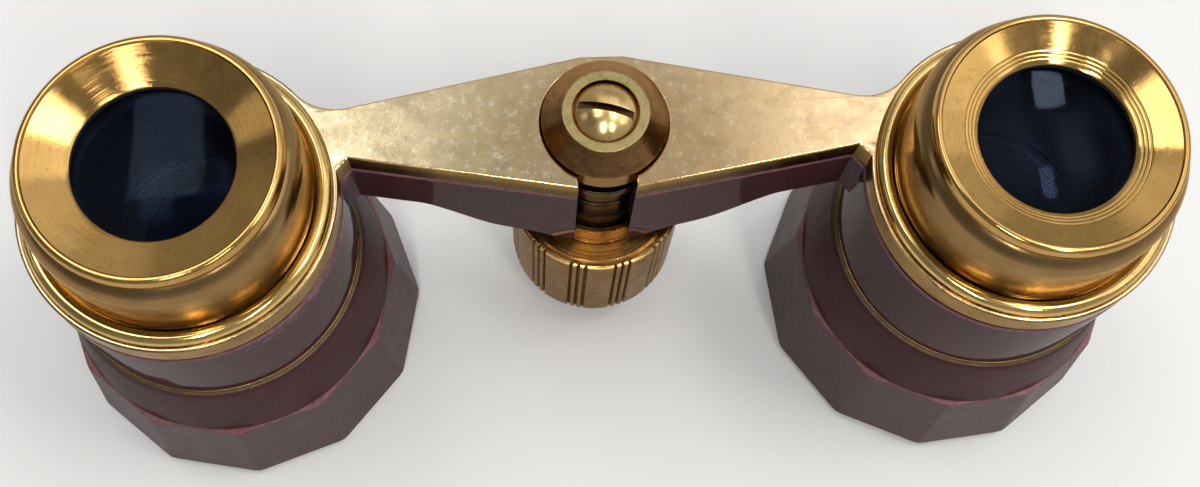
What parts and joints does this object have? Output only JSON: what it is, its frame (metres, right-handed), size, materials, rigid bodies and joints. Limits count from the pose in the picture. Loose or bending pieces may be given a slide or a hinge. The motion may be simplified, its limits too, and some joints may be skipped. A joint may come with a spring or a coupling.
{
  "type": "opera glasses",
  "caption": "Galilean opera glasses: two lacquered barrels with faceted objective ends, gilt eyepiece bridge and cups, central fluted focusing wheel.",
  "frame": {"origin": "midway between the two optical axes, on the plane that the objective cells stand on", "axes": "+Z along the optical axes towards the eyes, +X from the left barrel to the right one, -Y the slotted front of the bridge"},
  "size_m": [0.0921, 0.0302, 0.0384],
  "materials": {
    "lacquer": "glossy plum lacquer",
    "matt_lacquer": "matt metallic mauve lacquer",
    "gilt": "polished gilt brass",
    "satin_gilt": "satin champagne gilt, worn",
    "bronze": "darkened turned bronze",
    "screw_brass": "polished brass",
    "wheel_gilt": "tarnished gilt",
    "cast_brass": "rough dark brass",
    "dark_steel": "oiled dark steel",
    "black_paint": "flat black",
    "felt": "thin black felt",
    "objective_glass": "coated optical glass",
    "eye_glass": "coated optical glass"
  },
  "bodies": {
    "body": {"bearing_ring": "cast_brass", "body_casting": "lacquer", "left_glare_stop": "black_paint", "left_guide_sleeve": "felt", "left_objective_cell": "matt_lacquer", "left_objective_front_lens": "objective_glass", "left_objective_rear_lens": "objective_glass", "left_objective_retainer": "black_paint", "left_seam_ring": "gilt", "right_glare_stop": "black_paint", "right_guide_sleeve": "felt", "right_objective_cell": "matt_lacquer", "right_objective_front_lens": "objective_glass", "right_objective_rear_lens": "objective_glass", "right_objective_retainer": "black_paint", "right_seam_ring": "gilt", "wave_washer": "dark_steel"},
    "carriage": {"cap_screw": "screw_brass", "cone_cap": "bronze", "eyepiece_bridge": "satin_gilt", "focusing_pillar": "dark_steel", "left_eye_lens": "eye_glass", "left_eye_lens_retainer": "black_paint", "left_eyepiece_cup": "gilt", "left_eyepiece_tube": "gilt", "right_eye_lens": "eye_glass", "right_eye_lens_retainer": "black_paint", "right_eyepiece_cup": "gilt", "right_eyepiece_tube": "gilt"},
    "wheel": {"focusing_screw": "dark_steel", "focusing_wheel": "wheel_gilt", "neck_clip": "dark_steel", "wheel_nut": "wheel_gilt"}
  },
  "joints": [
    {"name": "focus_turn", "type": "hinge", "parent": "body", "child": "wheel", "pos_m": [0, 0.00497, 0.01], "axis": [0, 0, 1], "range_deg": [-270, 0]},
    {"name": "eyepiece_travel", "type": "slide", "parent": "body", "child": "carriage", "axis": [0, 0, 1], "range_m": [0, 0.006]}
  ],
  "couplings": [
    {"joint": "focus_turn", "follows": "eyepiece_travel", "rad_per_m": -785.4}
  ]
}
